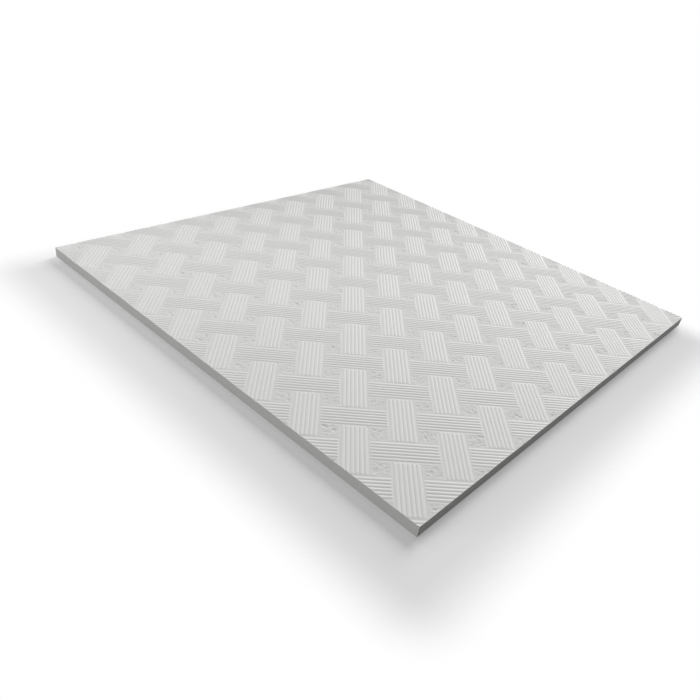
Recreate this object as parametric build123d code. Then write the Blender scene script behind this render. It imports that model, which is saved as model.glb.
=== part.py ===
from build123d import *
import math
import os

# Gypsum ceiling tile for a 600 mm lay-in grid, lying on its back with its patterned face up.
# The face carries a basket weave: flat strips stand proud of pressed-in ground squares,
# and each strip appears to pass under the strips that cross its two ends.
# The origin is the middle of the back, X and Y run along the cut edges, and Z points out of the face.

# Driving dimensions, in millimetres
tile_width = 595.0  # along X, one module less the play in the grid
tile_length = 595.0  # along Y
tile_thickness = 12.5  # from the back to the tops of the strips
relief_depth = 0.6  # from the tops of the strips down to the ground squares
strip_width = 28.8  # across a strip, side to side
seam_width = 0.6  # the pressed line where a strip's end meets the strip that crosses it
repeat_x = 64.65  # from one strip to the next like it, along X
repeat_y = 68.55  # from one strip to the next like it, along Y
weave_shift_x = 6.3  # from the middle of the tile to the middle of the strip nearest it
weave_shift_y = 3.0
run_out = 5.0  # how far the pressing tool reaches past the cut edges

# The two ribbon directions are the diagonals of the repeat
diagonal = math.hypot(repeat_x, repeat_y)
ribbon_up = Vector(-repeat_x, repeat_y).normalized()
ribbon_across = Vector(repeat_x, repeat_y).normalized()

# Ribbons don't cross quite squarely, so a strip's ends are cut along the ribbon that crosses it
crossing_angle = math.radians(ribbon_up.get_angle(ribbon_across))
slant_width = strip_width / math.sin(crossing_angle)
slant_seam = seam_width / math.sin(crossing_angle)
strip_length = diagonal - slant_width - 2 * slant_seam


def strip_outline(middle, along, across):
    half_length = along * (strip_length / 2)
    half_width = across * (slant_width / 2)
    corners = (
        middle - half_length - half_width,
        middle + half_length - half_width,
        middle + half_length + half_width,
        middle - half_length + half_width,
    )
    return Polygon(*[(corner.X, corner.Y) for corner in corners], align=None)


def woven_strips(reach_x, reach_y):
    # A strip of each ribbon direction in every repeat, wherever it reaches into the rectangle
    columns = math.ceil((reach_x + diagonal + abs(weave_shift_x)) / repeat_x)
    rows = math.ceil((reach_y + diagonal + abs(weave_shift_y)) / repeat_y)
    outlines = []
    for column in range(-columns, columns + 1):
        for row in range(-rows, rows + 1):
            middle = Vector(
                weave_shift_x + column * repeat_x,
                weave_shift_y + row * repeat_y,
            )
            crossing = middle + ribbon_up * (diagonal / 2)
            outlines.append(strip_outline(middle, ribbon_up, ribbon_across))
            outlines.append(strip_outline(crossing, ribbon_across, ribbon_up))
    return [outline for outline in outlines if reaches_into(outline, reach_x, reach_y)]


def reaches_into(outline, reach_x, reach_y):
    box = outline.bounding_box()
    inside_x = box.min.X < reach_x and box.max.X > -reach_x
    inside_y = box.min.Y < reach_y and box.max.Y > -reach_y
    return inside_x and inside_y


def pressed_ground():
    # Everything between the strips: the ground squares, joined by the seams at the strips' ends
    width = tile_width + 2 * run_out
    length = tile_length + 2 * run_out
    ground = Rectangle(width, length) - woven_strips(width / 2, length / 2)
    floor_height = tile_thickness - relief_depth
    return extrude(Pos(0, 0, floor_height) * ground, amount=relief_depth + run_out)


def gypsum_tile():
    board = Box(
        tile_width,
        tile_length,
        tile_thickness,
        align=(Align.CENTER, Align.CENTER, Align.MIN),
    )
    return board - pressed_ground()


os.makedirs("parts", exist_ok=True)
export_step(gypsum_tile(), "parts/gypsum_tile.step")
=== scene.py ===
import bpy
import math
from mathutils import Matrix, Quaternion, Vector


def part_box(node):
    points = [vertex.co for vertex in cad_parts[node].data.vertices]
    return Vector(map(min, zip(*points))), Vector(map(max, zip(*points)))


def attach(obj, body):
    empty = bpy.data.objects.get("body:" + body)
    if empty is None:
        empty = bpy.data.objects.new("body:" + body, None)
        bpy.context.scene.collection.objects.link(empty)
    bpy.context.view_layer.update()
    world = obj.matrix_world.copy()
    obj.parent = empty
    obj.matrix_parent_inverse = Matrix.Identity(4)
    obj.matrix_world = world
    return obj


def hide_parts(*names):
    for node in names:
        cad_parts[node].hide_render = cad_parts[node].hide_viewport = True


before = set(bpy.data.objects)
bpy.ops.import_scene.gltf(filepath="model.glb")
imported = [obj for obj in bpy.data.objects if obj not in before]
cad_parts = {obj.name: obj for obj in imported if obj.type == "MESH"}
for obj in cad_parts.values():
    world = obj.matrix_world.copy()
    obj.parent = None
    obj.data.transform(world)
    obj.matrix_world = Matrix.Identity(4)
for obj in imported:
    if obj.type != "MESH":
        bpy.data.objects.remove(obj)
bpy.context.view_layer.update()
tileLow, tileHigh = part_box("gypsum_tile")
tileSize = tileHigh - tileLow
mm = 0.001
touch = 0.01 * mm  # nearer than this is the same place
print("frame loaded,", len(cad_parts), "node of", [round(side / mm, 2) for side in tileSize], "mm")

# where the weave falls on the face, the same as on the solid underneath
weave = {
    "repeatX": 64.65 * mm,  # like strips, along X
    "repeatY": 68.55 * mm,  # like strips, along Y
    "shiftX": 6.3 * mm,  # middle of the tile to the nearest strip
    "shiftY": 3.0 * mm,
    "stripWidth": 28.8 * mm,
    "seam": 0.6 * mm,  # pressed line at a strip's ends
}
diagonal = math.hypot(weave["repeatX"], weave["repeatY"])
lean = math.atan2(weave["repeatY"], weave["repeatX"])  # a ribbon's angle from X
crossing = math.pi - 2 * lean  # between the two ribbons, not quite square
slantWidth = weave["stripWidth"] / math.sin(crossing)
stripLength = diagonal - slantWidth - 2 * weave["seam"] / math.sin(crossing)
columns = math.ceil(tileSize.x / 2 / weave["repeatX"]) + 1
rows = math.ceil(tileSize.y / 2 / weave["repeatY"]) + 1


def only(piece):
    bpy.ops.object.select_all(action="DESELECT")
    piece.select_set(True)
    bpy.context.view_layer.objects.active = piece


def edit(piece, wanted=None):
    # opens edit mode with every vertex selected, or only the wanted ones
    only(piece)
    bpy.ops.object.mode_set(mode="EDIT")
    bpy.ops.mesh.select_mode(type="VERT")
    bpy.ops.mesh.select_all(action="DESELECT" if wanted else "SELECT")
    if wanted:
        bpy.ops.object.mode_set(mode="OBJECT")
        for vert in piece.data.vertices:
            vert.select = wanted(vert.co)
        bpy.ops.object.mode_set(mode="EDIT")


def leave():
    bpy.ops.object.mode_set(mode="OBJECT")


def saw(piece, at, facing, cutOff=True, fill=False):
    # a plane cut, which drops what lies on the side it faces
    edit(piece)
    bpy.ops.mesh.bisect(
        plane_co=at, plane_no=facing, use_fill=fill, clear_outer=cutOff, threshold=1e-7
    )
    leave()


def finishWith(piece, kind, **settings):
    only(piece)
    bpy.ops.object.modifier_add(type=kind)
    modifier = piece.modifiers[-1]
    for name, value in settings.items():
        setattr(modifier, name, value)
    bpy.ops.object.modifier_apply(modifier=modifier.name)


def settle(piece):
    # the place goes into the mesh
    only(piece)
    bpy.ops.object.transform_apply(location=True, rotation=True, scale=True)


def repeat(piece, count, step):
    finishWith(
        piece,
        "ARRAY",
        count=count,
        use_relative_offset=False,
        use_constant_offset=True,
        constant_offset_displace=step,
    )


def spread(piece, offsetX, offsetY, turn):
    # one copy in every repeat of the weave, past all four edges of the tile
    piece.rotation_euler.z = turn
    piece.location.x = weave["shiftX"] + offsetX - columns * weave["repeatX"]
    piece.location.y = weave["shiftY"] + offsetY - rows * weave["repeatY"]
    piece.location.z = tileHigh.z
    settle(piece)
    repeat(piece, 2 * columns + 1, (weave["repeatX"], 0, 0))
    repeat(piece, 2 * rows + 1, (0, weave["repeatY"], 0))


def closeBelow(piece, depth):
    # walls from the open rim down to one flat base
    edit(piece)
    bpy.ops.mesh.select_mode(type="EDGE")
    bpy.ops.mesh.select_all(action="DESELECT")
    bpy.ops.mesh.select_non_manifold(
        extend=False,
        use_wire=False,
        use_boundary=True,
        use_multi_face=False,
        use_non_contiguous=False,
        use_verts=False,
    )
    bpy.ops.mesh.extrude_region_move(TRANSFORM_OT_translate={"value": (0, 0, -depth)})
    bpy.ops.transform.resize(value=(1, 1, 0), center_override=(0, 0, -depth))
    bpy.ops.mesh.edge_face_add()
    bpy.ops.mesh.select_all(action="SELECT")
    bpy.ops.mesh.normals_make_consistent(inside=False)
    leave()


# a strip is six round ribs on a slight crown, between two low lips level with the ground;
# the ribs run out at both ends, under the crossing strips
ribs = {
    "count": 8,  # the two outer ones become the lips
    "pitch": 4.25 * mm,
    "sides": 27,  # of the full round that a rib's top is cut from
    "facets": 4,  # how many of those sides are kept
    "crown": 420.0 * mm,  # radius of the strip's own arch
    "lipsFrom": 3.05,  # pitches from the middle of the strip to its lips
    "lipDrop": 0.17 * mm,
    "bury": 1.2 * mm,  # how far the ends run under the crossing strips
    "hold": 2.4 * mm,  # a cut this far from the ends keeps the shading before it straight
    "runOut": 1.7 * mm,  # the ribs start to flatten here
    "flatAt": 0.66 * mm,  # strip tops down to where the ribs run out
    "flatness": 0.2,  # share of their height that is left at the very end
    "base": 2.4 * mm,  # strip tops down to the hidden base
}


def fannedRibs(name):
    # the top of one round bar, copied side by side about the middle of the crown
    slope = math.pi * ribs["facets"] / ribs["sides"]
    radius = ribs["pitch"] / 2 / math.sin(slope)
    crown = ribs["crown"]
    bpy.ops.object.select_all(action="DESELECT")
    bpy.ops.mesh.primitive_cylinder_add(
        vertices=ribs["sides"],
        radius=radius,
        depth=stripLength + weave["stripWidth"],
        end_fill_type="NOTHING",
        location=(0, 0, crown - radius),
        rotation=(math.pi / 2, 0, 0),
    )
    strip = bpy.context.object
    strip.name = name
    settle(strip)
    edit(strip, lambda co: co.z < crown - radius * (1 - math.cos(slope)) - touch)
    bpy.ops.mesh.delete(type="VERT")
    leave()
    fan = (ribs["count"] - 1) * ribs["pitch"] / crown
    strip.rotation_euler.y = fan / 2
    settle(strip)
    edit(strip)
    bpy.ops.mesh.spin(
        steps=ribs["count"] - 1, dupli=True, angle=fan, center=(0, 0, 0), axis=(0, 1, 0)
    )
    bpy.ops.mesh.select_all(action="SELECT")
    bpy.ops.mesh.remove_doubles(threshold=5 * touch)
    bpy.ops.mesh.normals_make_consistent(inside=False)
    leave()
    strip.location.z = -crown
    settle(strip)
    return strip


def ribbedStrip(name, slant):
    strip = fannedRibs(name)
    half = weave["stripWidth"] / 2
    for way in (1, -1):
        saw(strip, (way * half, 0, 0), (way, 0, 0))
    edit(strip, lambda co: abs(co.x) > ribs["pitch"] * ribs["lipsFrom"])
    bpy.ops.transform.translate(value=(0, 0, -ribs["lipDrop"]))
    leave()

    # the ends follow the strip that crosses there
    facing = Vector((-math.sin(slant), math.cos(slant), 0))
    for way in (1, -1):
        end = Vector((0, way * (stripLength / 2 + ribs["bury"]), 0))
        saw(strip, end, way * facing)
        for inset in (ribs["hold"], ribs["runOut"]):
            saw(strip, end - way * inset * facing, way * facing, cutOff=False)
        edit(strip, lambda co: way * (co - end).dot(facing) > -5 * touch)
        bpy.ops.transform.resize(
            value=(1, 1, ribs["flatness"]), center_override=(0, 0, -ribs["flatAt"])
        )
        leave()
    closeBelow(strip, ribs["base"])
    return strip


# the ground squares between the strips, covered in small rounded grains
grains = {
    "segments": 15,
    "drop": 0.45 * mm,  # strip tops down to the ground
    "tuck": 0.05 * mm,  # how far a square reaches under the strips round it
    "size": 2.4 * mm,
    "height": 1.2 * mm,  # from a grain's middle to one grain's size away
    "level": 0.2,  # share of that height above the ground
    "rim": 3.0 * mm,  # over which the grains fade out towards the strips
}


def groundSquares():
    # each is a square laid on its point, then drawn out to the weave's slant
    side = diagonal / 2 - slantWidth + 2 * grains["tuck"]
    drawX = math.sqrt(2) * math.cos(lean)
    drawY = math.sqrt(2) * math.sin(lean)
    squares = []
    for offsetX, offsetY in ((0, weave["repeatY"] / 2), (weave["repeatX"] / 2, 0)):
        bpy.ops.object.select_all(action="DESELECT")
        bpy.ops.mesh.primitive_grid_add(
            x_subdivisions=grains["segments"],
            y_subdivisions=grains["segments"],
            size=side,
            location=(0, 0, -grains["drop"]),
        )
        square = bpy.context.object
        settle(square)
        grained = square.vertex_groups.new(name="grained")
        for vert in square.data.vertices:
            inset = side / 2 - max(abs(vert.co.x), abs(vert.co.y))
            grained.add([vert.index], min(1.0, inset / grains["rim"]), "REPLACE")
        closeBelow(square, ribs["base"])
        square.rotation_euler.z = math.pi / 4
        settle(square)
        square.scale = (drawX, drawY, 1)
        settle(square)
        spread(square, offsetX, offsetY, 0)
        squares.append(square)
    only(squares[0])
    squares[1].select_set(True)
    bpy.ops.object.join()
    ground = bpy.context.object
    ground.name = "groundSquares"

    pebbles = bpy.data.textures.new("pebbles", "VORONOI")
    pebbles.noise_scale = grains["size"]
    pebbles.distance_metric = "DISTANCE_SQUARED"
    finishWith(
        ground,
        "DISPLACE",
        texture=pebbles,
        texture_coords="LOCAL",
        direction="Z",
        vertex_group="grained",
        strength=-grains["height"],
        mid_level=grains["level"],
    )
    return ground


# the board under them is laminated oversize, then sawn to its size
board = {
    "spare": 4.0 * mm,  # sawn off all round
    "overlap": 0.4 * mm,  # how far it reaches up into the strips and squares
    "smoothUnder": math.radians(32),  # sharper edges stay sharp
}


def embossedTile(satin, grained, sawn, paper):
    up = ribbedStrip("stripsUp", math.pi / 2 - crossing)
    spread(up, 0, 0, math.pi / 2 - lean)
    across = ribbedStrip("stripsAcross", crossing - math.pi / 2)
    spread(across, -weave["repeatX"] / 2, weave["repeatY"] / 2, lean - math.pi / 2)
    ground = groundSquares()
    up.data.materials.append(satin)
    across.data.materials.append(satin)
    ground.data.materials.append(grained)

    slabTop = tileHigh.z - ribs["base"] + board["overlap"]
    bpy.ops.object.select_all(action="DESELECT")
    bpy.ops.mesh.primitive_cube_add(size=1, location=(0, 0, slabTop / 2))
    tile = bpy.context.object
    tile.name = "embossed_tile"
    tile.scale = (tileSize.x + 2 * board["spare"], tileSize.y + 2 * board["spare"], slabTop)
    settle(tile)
    for finish in (satin, grained, sawn, paper):
        tile.data.materials.append(finish)
    for layer in (ground, up, across):
        finishWith(
            tile,
            "BOOLEAN",
            operation="UNION",
            solver="MANIFOLD",
            material_mode="TRANSFER",
            object=layer,
        )
        bpy.data.objects.remove(layer)
    for facing, half in (((1, 0, 0), tileSize.x / 2), ((0, 1, 0), tileSize.y / 2)):
        for way in (1, -1):
            plane = way * Vector(facing)
            saw(tile, plane * half, plane, fill=True)
    edit(tile)
    bpy.ops.mesh.remove_doubles(threshold=0.1 * touch)
    bpy.ops.mesh.normals_make_consistent(inside=False)
    leave()
    bpy.ops.object.shade_smooth_by_angle(angle=board["smoothUnder"])

    # sawn gypsum on the four cut sides, paper underneath
    sawnSlot, paperSlot = 2, 3
    for face in tile.data.polygons:
        onSide = abs(face.normal.z) < 0.01 and (
            abs(abs(face.center.x) - tileSize.x / 2) < touch
            or abs(abs(face.center.y) - tileSize.y / 2) < touch
        )
        if onSide:
            face.material_index = sawnSlot
        elif face.normal.z < -0.9:
            face.material_index = paperSlot
    tile.data.calc_loop_triangles()
    print("tile modelled,", len(tile.data.loop_triangles), "triangles")
    return tile


class Sock:
    # a shader socket that can be added, subtracted and multiplied like a number
    def __init__(self, tree, socket):
        self.tree = tree
        self.socket = socket

    def combine(self, operation, first, second):
        node = self.tree.nodes.new("ShaderNodeMath")
        node.operation = operation
        for place, value in enumerate((first, second)):
            if isinstance(value, Sock):
                self.tree.links.new(value.socket, node.inputs[place])
            else:
                node.inputs[place].default_value = value
        return Sock(self.tree, node.outputs[0])

    def __add__(self, other):
        return self.combine("ADD", self, other)

    def __radd__(self, other):
        return self.combine("ADD", other, self)

    def __sub__(self, other):
        return self.combine("SUBTRACT", self, other)

    def __rsub__(self, other):
        return self.combine("SUBTRACT", other, self)

    def __mul__(self, other):
        return self.combine("MULTIPLY", self, other)

    def __rmul__(self, other):
        return self.combine("MULTIPLY", other, self)


class Finish:
    # a node tree that is filled one node at a time
    def __init__(self, owner):
        owner.use_nodes = True
        self.tree = owner.node_tree
        self.tree.nodes.clear()

    def node(self, kind, settings=None, sockets=None, out=0):
        made = self.tree.nodes.new(kind)
        for name, value in (settings or {}).items():
            setattr(made, name, value)
        for name, value in (sockets or {}).items():
            if isinstance(value, Sock):
                self.tree.links.new(value.socket, made.inputs[name])
            else:
                made.inputs[name].default_value = value
        return Sock(self.tree, made.outputs[out]) if made.outputs else made

    def place(self):
        return self.node("ShaderNodeTexCoord", out="Object")

    def noise(self, at, scale, detail=2.0, roughness=0.5):
        return self.node(
            "ShaderNodeTexNoise",
            None,
            {"Vector": at, "Scale": scale, "Detail": detail, "Roughness": roughness},
        )

    def bump(self, height, strength, depth):
        return self.node(
            "ShaderNodeBump", None, {"Strength": strength, "Distance": depth, "Height": height}
        )

    def blend(self, share, first, second):
        return self.node(
            "ShaderNodeMix",
            {"data_type": "RGBA"},
            {0: share, 6: first, 7: second},
            out=2,
        )

    def smooth(self, value, low, high):
        return self.node(
            "ShaderNodeMapRange",
            {"interpolation_type": "SMOOTHSTEP"},
            {"Value": value, "From Min": low, "From Max": high},
        )

    def surface(self, tone, roughness, bump, gloss=0.5):
        return self.node(
            "ShaderNodeBsdfPrincipled",
            None,
            {
                "Base Color": tone,
                "Roughness": roughness,
                "Specular IOR Level": gloss,
                "Normal": bump,
            },
        )


def paint(name, build):
    material = bpy.data.materials.new(name)
    finish = Finish(material)
    shader = build(finish)
    finish.node("ShaderNodeOutputMaterial", None, {"Surface": shader})
    return material


def grey(level):
    return (level, level, level, 1)


# white film with faint clouds in its tone, satin on the strips and dull in the grained squares,
# where a slightly darker tone is painted shade among the grains
film = {
    "clouds": (0.61, 0.615, 0.61, 1),
    "cloudScale": 9.0,
    "gloss": 0.14,
    "strips": {
        "tone": (0.65, 0.65, 0.64, 1),
        "roughness": 0.6,
        "grainScale": 900.0,
        "grainDepth": 0.06 * mm,
        "grainStrength": 0.5,
    },
    "squares": {
        # a little darker than the strips: painted shade among the grains
        "tone": (0.63, 0.63, 0.613, 1),
        "roughness": 0.75,
        "grainScale": 700.0,
        "grainDepth": 0.3 * mm,
        "grainStrength": 0.8,
    },
}


def filmFinish(f, part):
    at = f.place()
    broad = f.noise(at, film["cloudScale"])
    fine = f.noise(at, part["grainScale"], 3.0)
    tone = f.blend((broad - 0.5) * 0.4 + 0.1, part["tone"], film["clouds"])
    roughness = part["roughness"] + (fine - 0.5) * 0.12
    return f.surface(
        tone, roughness, f.bump(fine, part["grainStrength"], part["grainDepth"]), film["gloss"]
    )


def stripFilm(f):
    return filmFinish(f, film["strips"])


def squareFilm(f):
    return filmFinish(f, film["squares"])


# sawn gypsum on the four cut edges; its grey is partly the gypsum's own tone and partly painted
# shade
sawnEdge = {
    "pale": (0.575, 0.575, 0.565, 1),
    "dark": (0.48, 0.48, 0.47, 1),
    "crumbScale": 700.0,
    "crumbDepth": 0.3 * mm,
    "patchScale": 40.0,
    "roughness": 0.9,
}


def sawnGypsum(f):
    at = f.place()
    crumbs = f.noise(at, sawnEdge["crumbScale"], 4.0, 0.6)
    patches = f.noise(at, sawnEdge["patchScale"], 3.0)
    tone = f.blend(crumbs * 0.6 + patches * 0.4, sawnEdge["dark"], sawnEdge["pale"])
    return f.surface(tone, sawnEdge["roughness"], f.bump(crumbs, 0.5, sawnEdge["crumbDepth"]))


# grey board paper on the back
backPaper = {
    "pale": (0.52, 0.51, 0.48, 1),
    "dark": (0.44, 0.43, 0.40, 1),
    "fibreScale": 450.0,
    "fibreDepth": 0.2 * mm,
    "patchScale": 14.0,
    "roughness": 0.85,
}


def boardPaper(f):
    at = f.place()
    fibres = f.noise(at, backPaper["fibreScale"], 5.0, 0.65)
    patches = f.noise(at, backPaper["patchScale"], 3.0)
    tone = f.blend(fibres * 0.5 + patches * 0.5, backPaper["dark"], backPaper["pale"])
    return f.surface(tone, backPaper["roughness"], f.bump(fibres, 0.3, backPaper["fibreDepth"]))


tile = embossedTile(
    paint("satinFilm", stripFilm),
    paint("grainedFilm", squareFilm),
    paint("sawnGypsum", sawnGypsum),
    paint("boardPaper", boardPaper),
)
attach(tile, "root")
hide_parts("gypsum_tile")
print("finishes applied")

# pale floor, which fades into the white round it; its grey patch is a painted soft shadow
# that reaches further on the near sides, where the tile's real shadow falls too
floor = {
    "size": 3.0,
    "shown": 0.86,  # tone of its matt share as the camera sees it; this grey is the painted shadow
    "bounce": 0.315,  # and for the light that this share throws back
    "even": 0.62,  # tone of the rest, a painted glow that no shadow darkens and that throws no light back; it makes the real shadow paler
    "evenShare": 0.35,
    "fade": 66.0 * mm,
    # middle of the painted shadow's patch, set towards the near sides
    "middle": (28.0 * mm, -40.0 * mm),
}


def shownTone(f, unseen, shown):
    # the shown tone straight from the camera, or by a mirror or glass
    rays = f.node("ShaderNodeLightPath").socket.node.outputs
    camera, glossy, through = [
        Sock(f.tree, rays[name])
        for name in ("Is Camera Ray", "Is Glossy Ray", "Is Transmission Ray")
    ]
    return f.blend(camera + glossy + through, grey(unseen), grey(shown))


def floorFinish(f):
    # the grey patch round this middle is a painted soft shadow, and its glow share paints the real
    # shadow paler
    middleX, middleY = floor["middle"]
    moved = f.node(
        "ShaderNodeMapping", None, {"Vector": f.place(), "Location": (-middleX, -middleY, 0)}
    )
    mirrored = f.node("ShaderNodeVectorMath", {"operation": "ABSOLUTE"}, {0: moved})
    past = f.node(
        "ShaderNodeVectorMath", {"operation": "SUBTRACT"}, {0: mirrored, 1: tileSize / 2}
    )
    outside = f.node(
        "ShaderNodeVectorMath", {"operation": "MAXIMUM"}, {0: past, 1: (0, 0, 0)}
    )
    away = f.node("ShaderNodeVectorMath", {"operation": "LENGTH"}, {0: outside}, out="Value")
    fade = f.smooth(away, 0.0, floor["fade"])
    tone = shownTone(f, floor["bounce"], floor["shown"])
    matt = f.node("ShaderNodeBsdfDiffuse", None, {"Color": tone})
    # painted glow, which no shadow darkens
    even = f.node("ShaderNodeEmission", None, {"Color": shownTone(f, 0.0, floor["even"])})
    soft = f.node("ShaderNodeMixShader", None, {0: floor["evenShare"], 1: matt, 2: even})
    clear = f.node("ShaderNodeBsdfTransparent")
    return f.node("ShaderNodeMixShader", None, {0: fade, 1: soft, 2: clear})


bpy.ops.object.select_all(action="DESELECT")
bpy.ops.mesh.primitive_plane_add(size=floor["size"], location=(0, 0, tileLow.z))
floorPlane = bpy.context.object
floorPlane.name = "floor"
floorPlane.data.materials.append(paint("floorWithPaintedShadow", floorFinish))

# soft light from behind, a low fill from the left, a tube over the left corner
# and an even surround; sizes and distances in metres
studio = {
    "surround": 0.27,
    "keyLight": {
        "width": 6.2,
        "height": 9.0,
        "power": 2370.0,
        "azimuth": 194.0,
        "elevation": 26.0,
        "distance": 14.0,
    },
    "fillLight": {
        "width": 2.0,
        "height": 0.6,
        "power": 60.0,
        "azimuth": -25.0,
        "elevation": 8.0,
        "distance": 4.0,
    },
    "topLight": {
        "width": 0.15,
        "height": 0.7,
        "power": 0.64,
        "azimuth": -45.0,
        "elevation": 62.0,
        "distance": 0.53,
    },
}


def surround():
    world = bpy.data.worlds.new("surround")
    bpy.context.scene.world = world
    sky = Finish(world)
    tone = shownTone(sky, studio["surround"], 1.0)
    backdrop = sky.node("ShaderNodeBackground", None, {"Color": tone, "Strength": 1.0})
    sky.node("ShaderNodeOutputWorld", None, {"Surface": backdrop})


def outwards(azimuth, elevation):
    # azimuth 0 stands on -Y, 90 on +X
    turn, rise = math.radians(azimuth), math.radians(elevation)
    return Vector(
        (math.sin(turn) * math.cos(rise), -math.cos(turn) * math.cos(rise), math.sin(rise))
    )


def softbox(name):
    box = studio[name]
    away = outwards(box["azimuth"], box["elevation"])
    bpy.ops.object.select_all(action="DESELECT")
    bpy.ops.object.light_add(type="AREA", location=away * box["distance"])
    lamp = bpy.context.object
    lamp.name = name
    lamp.data.shape = "RECTANGLE"
    lamp.data.size = box["width"]
    lamp.data.size_y = box["height"]
    lamp.data.energy = box["power"]
    lamp.rotation_euler = away.to_track_quat("Z", "Y").to_euler()


surround()
for name in ("keyLight", "fillLight", "topLight"):
    softbox(name)
print("stage lit")

# the photograph's viewpoint
view = {
    "azimuth": 38.013,
    "elevation": 34.998,
    "roll": 9.541,
    "distance": 675.46 * mm,
    "aim": (124.11 * mm, -196.80 * mm),  # on the face
    "focal": 652.92,  # in pixels of the picture
    "picture": 700,
    "shiftDown": 30,  # the optical axis meets the picture this far under its middle
    "sensor": 36.0,
    "nearest": 20.0 * mm,
}


def placeCamera():
    away = outwards(view["azimuth"], view["elevation"])
    aim = Vector((*view["aim"], tileHigh.z))
    bpy.ops.object.camera_add(location=aim + away * view["distance"])
    camera = bpy.context.object
    camera.name = "photoView"
    camera.rotation_mode = "QUATERNION"
    level = (-away).to_track_quat("-Z", "Y")
    camera.rotation_quaternion = level @ Quaternion((0, 0, 1), math.radians(view["roll"]))
    camera.data.sensor_width = view["sensor"]
    camera.data.lens = view["sensor"] * view["focal"] / view["picture"]
    camera.data.shift_y = view["shiftDown"] / view["picture"]
    camera.data.clip_start = view["nearest"]
    bpy.context.scene.camera = camera


placeCamera()
bpy.context.scene.view_settings.view_transform = "Standard"
print("camera placed")
